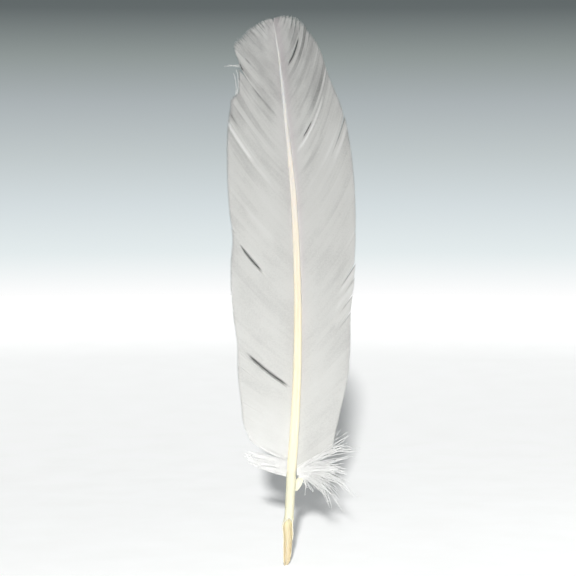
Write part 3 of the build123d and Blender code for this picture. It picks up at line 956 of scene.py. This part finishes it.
# ---- the torn strip under the right tuft ----
def torn_strip():
    """A strip of the shaft's skin, peeled up when the lower barbs were stripped, still fast at its foot."""
    rows, columns = 22, 13
    t = np.linspace(0, 1, rows)[:, None]
    s = np.linspace(-1, 1, columns)[None]
    mid_x = 5.0 + 2.6 * t ** 1.15
    mid_z = 38.6 + 6.6 * t
    half = 0.45 + 1.55 * np.sin(np.pi * np.clip(t * 0.78 + 0.06, 0, 1)) ** 0.9
    ragged = 1 + 0.10 * noise(61, t * 11, s * 3)
    x = mid_x + s * half * ragged * 0.80
    z = mid_z - s * half * 0.42 + 0.35 * noise(62, s * 4, t * 0.1) * t ** 4
    y = -0.15 - 0.35 * t - 0.55 * (1 - s ** 2) * np.sin(np.pi * np.clip(t * 0.9 + 0.05, 0, 1))
    y = y + 0.06 * noise(63, s * 6, t * 1.2)
    front = np.stack([x, y, z + 0 * s], -1)
    back = front + np.array([0.05, 0.34, 0.0])
    sheet = [(front, [grid_faces(rows, columns)], {}), (back, [grid_faces(rows, columns, flip=True)], {})]
    whole = slice(None)
    for edge, flip in (((whole, 0), True), ((whole, -1), False), ((0,), False), ((-1,), True)):
        sheet.append(cut_band(front[edge], back[edge], flip))
    rng = np.random.default_rng(66)
    paths = []
    for _ in range(26):
        root = front[-1, rng.integers(0, columns)] + np.array([0.02, 0.17, -0.2])
        heading = unit(np.array([rng.uniform(0.0, 1.3), rng.uniform(-0.5, 0.4), rng.uniform(0.3, 1.0)]))
        span = np.linspace(0, rng.uniform(0.6, 1.5), 8)[:, None]
        paths.append(root + heading * span + np.array([0.2, -0.1, -0.16]) * span ** 2)
    paths = np.array(paths)
    verts, faces = tubes(paths, np.linspace(0.07, 0.02, 8), 4)
    sheet.append((verts, faces, {"cut": np.full(len(verts), 0.8)}))
    make("torn_strip", sheet, TORN, ["stripped_barb_tag"])


torn_strip()

for name, material in (("shaft_pith", PITH), ("barrel_membrane", MEMBRANE)):
    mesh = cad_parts[name].data
    mesh.materials.clear()
    mesh.materials.append(material)


# ---- the studio, in metres ----
STUDIO_RADIUS = 1.9
WALL_HEIGHT = 3.0


def wall_glow(stops):
    """The wall's own glow, painted light whose colour runs up the wall through the stops."""
    made = bpy.data.materials.new("studio_wall")
    made.use_nodes = True
    tree = made.node_tree
    tree.nodes.clear()
    out = node(tree, "ShaderNodeOutputMaterial")
    glow = node(tree, "ShaderNodeEmission")
    where = node(tree, "ShaderNodeNewGeometry").outputs["Position"]
    z = node(tree, "ShaderNodeSeparateXYZ", {"Vector": where}).outputs["Z"]
    share = share_between(tree, z, -0.02, 0.48)
    tree.links.new(ramp(tree, share, stops), glow.inputs["Color"])
    tree.links.new(glow.outputs[0], out.inputs["Surface"])
    return made


def backdrop():
    """A pale floor that meets a round wall, white below and painted grey shade above; the floor's glow
    is painted light that brightens towards the wall.  Returns the floor.
    """
    bpy.ops.mesh.primitive_circle_add(vertices=96, radius=STUDIO_RADIUS, fill_type="TRIFAN")
    floor = bpy.context.object
    floor.name = "studio_floor"
    bpy.ops.mesh.primitive_cylinder_add(vertices=128, radius=STUDIO_RADIUS, depth=WALL_HEIGHT,
                                        end_fill_type="NOTHING", location=(0, 0, WALL_HEIGHT / 2))
    wall = bpy.context.object
    wall.name = "studio_wall"
    for p in wall.data.polygons:
        p.use_smooth = True
    # The glow is white at the wall's foot and turns to painted shade, dark grey, towards its top.
    stops = [(0.04, (1.0, 1.0, 1.0)), (0.16, (0.78, 0.84, 0.85)), (0.29, (0.66, 0.72, 0.74)),
             (0.43, (0.53, 0.58, 0.59)), (0.57, (0.41, 0.45, 0.465)), (0.70, (0.275, 0.31, 0.305)),
             (0.83, (0.125, 0.145, 0.147)), (1.0, (0.09, 0.11, 0.11))]
    wall.data.materials.append(wall_glow(stops))
    made, tree, shader = surface("studio_floor", Roughness=0.9, Specular_IOR_Level=0.1, Emission_Strength=1.0)
    # The floor glows: painted light that grows from faint at the pen to bright at the wall.
    where = node(tree, "ShaderNodeNewGeometry").outputs["Position"]
    far = node(tree, "ShaderNodeVectorMath", {0: where}, operation="LENGTH").outputs["Value"]
    share = share_between(tree, far, 0.2, STUDIO_RADIUS)
    glow = ramp(tree, share, [(0.0, (0.16, 0.165, 0.165)), (0.5, (0.22, 0.225, 0.225)),
                              (1.0, (0.60, 0.60, 0.60))])
    tree.links.new(glow, shader.inputs["Emission Color"])
    grain = noise_node(tree, 30, (1, 1, 1), 3.0)
    tree.links.new(ramp(tree, grain, [(0.3, (0.80, 0.80, 0.79)), (0.7, (0.83, 0.83, 0.825))]),
                   shader.inputs["Base Color"])
    floor.data.materials.append(made)
    # The light on the pen comes from the lamps and the air, not from the glow of the room.
    for part in (floor, wall):
        part.visible_diffuse = part.visible_glossy = part.visible_transmission = part.visible_shadow = False
    return floor


def softbox(name, spot, target, width, height, power, colour=(1, 1, 1)):
    """An oblong lamp, in metres and watts, that faces its target and isn't seen itself."""
    data = bpy.data.lights.new(name, "AREA")
    data.shape = "RECTANGLE"
    data.size, data.size_y = width, height
    data.energy = power
    data.color = colour
    light = place(name, data)
    light.location = spot
    light.rotation_euler = aim(Vector(target) - Vector(spot))
    light.visible_camera = False
    return light


def restrict(light, pieces, state):
    """Keeps a light off some pieces, or for those pieces alone."""
    group = bpy.data.collections.new(light.name + "_pieces")
    for piece in pieces:
        group.objects.link(piece)
    light.light_linking.receiver_collection = group
    for member in group.collection_objects:
        member.light_linking.link_state = state


def lights(floor):
    """Soft lamps on the pen, a sun that only draws its shadow on the floor, and faint light all round."""
    # The horn has its own wide front light, so that both walls of the scoop are light.
    horn_names = ("barrel_shell", "nib_left_point", "nib_right_point", "shaft_rachis", "torn_strip")
    horn = [bpy.data.objects[name] for name in horn_names]
    warm = (1.0, 0.995, 0.975)
    middle = (0, 0, 0.12)
    key = softbox("key_light", (-0.10, -0.265, 0.0), (0, 0, 0.08), 0.16, 0.16, 0.92, warm)
    restrict(key, horn, "EXCLUDE")
    wide = softbox("horn_light", (0.0, -0.28, 0.0), (0, 0, 0.08), 0.8, 0.16, 1.45, warm)
    restrict(wide, horn, "INCLUDE")
    left = softbox("left_light", (-0.35, -0.10, 0.06), (0, 0, 0.06), 0.2, 0.3, 0.5, warm)
    restrict(left, horn, "INCLUDE")
    softbox("fill_light", (0.30, -0.52, 0.08), middle, 0.3, 0.3, 0.9)
    softbox("side_light", (0.45, -0.04, 0.14), middle, 0.2, 0.4, 0.55)
    restrict(softbox("back_light", (0.3, 0.9, 0.7), (0, 0, 0.14), 0.8, 0.8, 10.0), [floor], "EXCLUDE")
    sun_data = bpy.data.lights.new("shadow_light", "SUN")
    sun_data.energy = 8.6
    sun_data.angle = math.radians(2.2)
    sun = place("shadow_light", sun_data)
    sun.rotation_euler = aim((0.03, 1.0, -0.27))
    restrict(sun, [floor], "INCLUDE")
    world = bpy.data.worlds.new("studio_air")
    world.use_nodes = True
    air = world.node_tree.nodes["Background"]
    air.inputs["Color"].default_value = (0.85, 0.9, 0.92, 1)
    air.inputs["Strength"].default_value = 0.18
    bpy.context.scene.world = world


lights(backdrop())
bpy.context.scene.view_settings.view_transform = "Standard"

# ---- the camera: straight on, a little above ----
LENS = 135.0  # focal length in millimetres
SENSOR = 36.0  # width of the sensor in millimetres
FRAME_WIDTH = 0.292  # metres that the picture shows across, at the pen
RISE = 4.0  # degrees above the level
camera_data = bpy.data.cameras.new("camera")
camera_data.lens = LENS
camera_data.sensor_width = SENSOR
camera_data.clip_start = 0.01
camera = place("camera", camera_data)
target = Vector((1.1, 0.0, 142.2)) * MM
back = Vector((0, -math.cos(math.radians(RISE)), math.sin(math.radians(RISE))))
camera.location = target + back * FRAME_WIDTH * LENS / SENSOR
camera.rotation_euler = aim(-back)
bpy.context.scene.camera = camera
